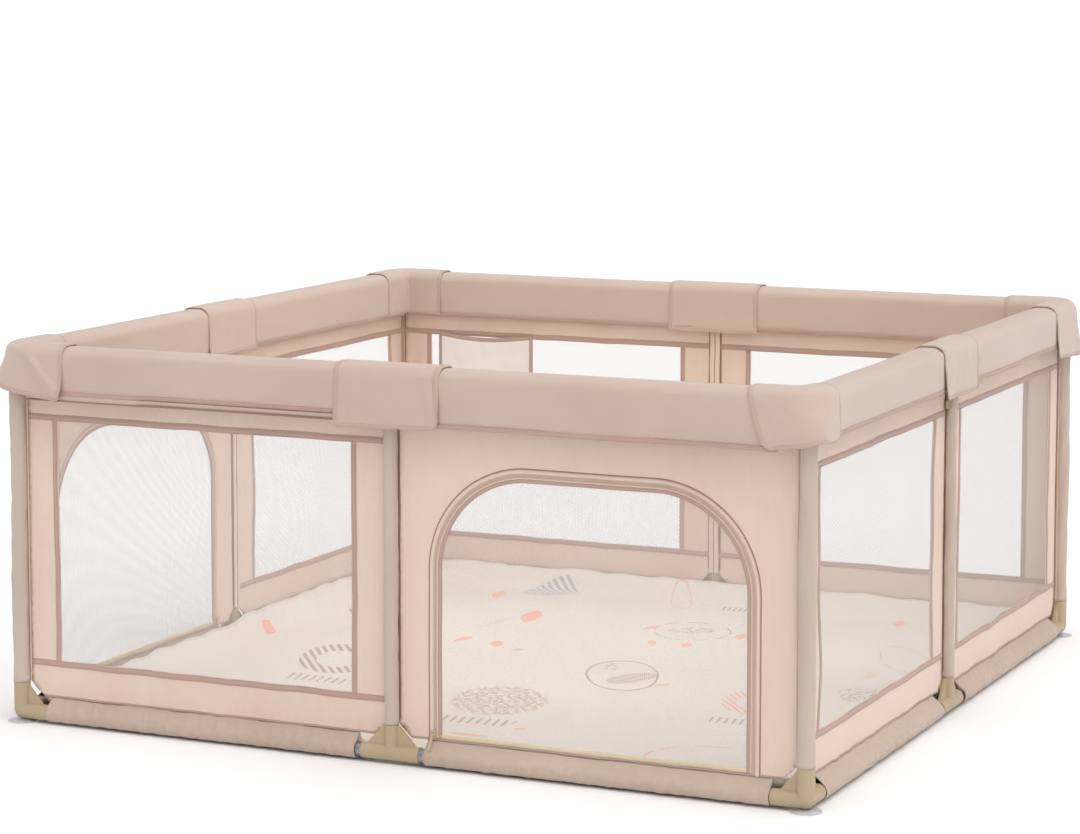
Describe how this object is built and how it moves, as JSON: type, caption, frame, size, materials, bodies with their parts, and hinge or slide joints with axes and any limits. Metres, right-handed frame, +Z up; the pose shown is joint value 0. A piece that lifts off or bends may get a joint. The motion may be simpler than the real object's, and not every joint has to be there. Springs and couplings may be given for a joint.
{
  "type": "playpen",
  "caption": "Square fabric playpen on a knock-down steel tube frame, with mesh windows, zip doors, padded rails, floor mat, pocket and suction-cup feet.",
  "frame": {"origin": "on the floor at the middle of the footprint", "axes": "+X along the front side, +Y to the back, +Z up"},
  "size_m": [1.566, 1.566, 0.691],
  "materials": {
    "tube_steel": "zinc plated steel tube",
    "connector_plastic": "khaki moulded plastic, fine grain",
    "panel_fabric": "plain woven polyester, light beige",
    "binding_tape": "dusty mauve binding tape",
    "pad_fabric": "coated polyester, sand",
    "sleeve_fabric": "plain woven polyester, grey beige",
    "mesh_fabric": "knitted breathable mesh, near white",
    "mat_fabric": "padded printed mat, cream",
    "pocket_mesh": "fine mesh pocket",
    "zip_metal": "painted die-cast zip slider",
    "cup_vinyl": "clear soft vinyl"
  },
  "bodies": {
    "frame": {"bottom_corner_connector_back_left": "connector_plastic", "bottom_corner_connector_back_right": "connector_plastic", "bottom_corner_connector_front_left": "connector_plastic", "bottom_corner_connector_front_right": "connector_plastic", "bottom_rail_sleeves": "sleeve_fabric", "bottom_rails_back": "tube_steel", "bottom_rails_front": "tube_steel", "bottom_rails_left": "tube_steel", "bottom_rails_right": "tube_steel", "bottom_tee_connector_back": "connector_plastic", "bottom_tee_connector_front": "connector_plastic", "bottom_tee_connector_left": "connector_plastic", "bottom_tee_connector_right": "connector_plastic", "corner_post_back_left": "tube_steel", "corner_post_back_right": "tube_steel", "corner_post_front_left": "tube_steel", "corner_post_front_right": "tube_steel", "door_panel_front": "panel_fabric", "door_panel_left": "panel_fabric", "floor_mat": "mat_fabric", "mid_post_back": "tube_steel", "mid_post_front": "tube_steel", "mid_post_left": "tube_steel", "mid_post_right": "tube_steel", "post_sleeves": "sleeve_fabric", "storage_pocket": "pocket_mesh", "top_corner_connectors": "connector_plastic", "top_pad_back": "pad_fabric", "top_pad_front": "pad_fabric", "top_pad_left": "pad_fabric", "top_pad_right": "pad_fabric", "top_rails": "tube_steel", "top_tee_connectors": "connector_plastic", "window_mesh": "mesh_fabric", "window_panel_back_left": "panel_fabric", "window_panel_back_right": "panel_fabric", "window_panel_front_left": "panel_fabric", "window_panel_left_back": "panel_fabric", "window_panel_right_back": "panel_fabric", "window_panel_right_front": "panel_fabric"},
    "door_flap_front": {"door_flap_front": "mesh_fabric"},
    "zip_slider_front": {"zip_slider_front": "zip_metal"},
    "zip_pull_front": {"zip_pull_front": "zip_metal"},
    "door_flap_left": {"door_flap_left": "mesh_fabric"},
    "zip_slider_left": {"zip_slider_left": "zip_metal"},
    "zip_pull_left": {"zip_pull_left": "zip_metal"},
    "mid_wrap_front": {"mid_wrap_front": "pad_fabric"},
    "mid_wrap_right": {"mid_wrap_right": "pad_fabric"},
    "mid_wrap_back": {"mid_wrap_back": "pad_fabric"},
    "mid_wrap_left": {"mid_wrap_left": "pad_fabric"},
    "corner_wrap_front_left": {"corner_wrap_front_left": "pad_fabric"},
    "corner_wrap_front_right": {"corner_wrap_front_right": "pad_fabric"},
    "corner_wrap_back_right": {"corner_wrap_back_right": "pad_fabric"},
    "corner_wrap_back_left": {"corner_wrap_back_left": "pad_fabric"},
    "suction_cup_front_left": {"suction_cup_front_left": "cup_vinyl"},
    "suction_cup_front_right": {"suction_cup_front_right": "cup_vinyl"},
    "suction_cup_back_right": {"suction_cup_back_right": "cup_vinyl"},
    "suction_cup_back_left": {"suction_cup_back_left": "cup_vinyl"}
  },
  "joints": [
    {"name": "door_fold_front", "type": "hinge", "parent": "frame", "child": "door_flap_front", "pos_m": [0.368, -0.742, 0.0482], "axis": [1, 0, 0], "range_deg": [-90, 90]},
    {"name": "zip_travel_front", "type": "slide", "parent": "frame", "child": "zip_slider_front", "axis": [0, 0, 1], "range_m": [0, 0.265]},
    {"name": "zip_pull_swing_front", "type": "hinge", "parent": "zip_slider_front", "child": "zip_pull_front", "pos_m": [0.0764, -0.7485, 0.057], "axis": [-1, 0, 0], "range_deg": [0, 130]},
    {"name": "door_fold_left", "type": "hinge", "parent": "frame", "child": "door_flap_left", "pos_m": [-0.742, -0.368, 0.0482], "axis": [0, -1, 0], "range_deg": [-90, 90]},
    {"name": "zip_travel_left", "type": "slide", "parent": "frame", "child": "zip_slider_left", "axis": [0, 0, 1], "range_m": [0, 0.265]},
    {"name": "zip_pull_swing_left", "type": "hinge", "parent": "zip_slider_left", "child": "zip_pull_left", "pos_m": [-0.7485, -0.0764, 0.057], "axis": [0, 1, 0], "range_deg": [0, 130]},
    {"name": "mid_wrap_lift_front", "type": "slide", "parent": "frame", "child": "mid_wrap_front", "axis": [0, 0, 1], "range_m": [0, 0.12]},
    {"name": "mid_wrap_lift_right", "type": "slide", "parent": "frame", "child": "mid_wrap_right", "axis": [0, 0, 1], "range_m": [0, 0.12]},
    {"name": "mid_wrap_lift_back", "type": "slide", "parent": "frame", "child": "mid_wrap_back", "axis": [0, 0, 1], "range_m": [0, 0.12]},
    {"name": "mid_wrap_lift_left", "type": "slide", "parent": "frame", "child": "mid_wrap_left", "axis": [0, 0, 1], "range_m": [0, 0.12]},
    {"name": "corner_wrap_lift_front_left", "type": "slide", "parent": "frame", "child": "corner_wrap_front_left", "axis": [0, 0, 1], "range_m": [0, 0.12]},
    {"name": "corner_wrap_lift_front_right", "type": "slide", "parent": "frame", "child": "corner_wrap_front_right", "axis": [0, 0, 1], "range_m": [0, 0.12]},
    {"name": "corner_wrap_lift_back_right", "type": "slide", "parent": "frame", "child": "corner_wrap_back_right", "axis": [0, 0, 1], "range_m": [0, 0.12]},
    {"name": "corner_wrap_lift_back_left", "type": "slide", "parent": "frame", "child": "corner_wrap_back_left", "axis": [0, 0, 1], "range_m": [0, 0.12]},
    {"name": "cup_turn_front_left", "type": "hinge", "parent": "frame", "child": "suction_cup_front_left", "pos_m": [-0.75, -0.75, 0.004], "axis": [0, 0, 1], "continuous": true},
    {"name": "cup_turn_front_right", "type": "hinge", "parent": "frame", "child": "suction_cup_front_right", "pos_m": [0.75, -0.75, 0.004], "axis": [0, 0, 1], "continuous": true},
    {"name": "cup_turn_back_right", "type": "hinge", "parent": "frame", "child": "suction_cup_back_right", "pos_m": [0.75, 0.75, 0.004], "axis": [0, 0, 1], "continuous": true},
    {"name": "cup_turn_back_left", "type": "hinge", "parent": "frame", "child": "suction_cup_back_left", "pos_m": [-0.75, 0.75, 0.004], "axis": [0, 0, 1], "continuous": true}
  ]
}
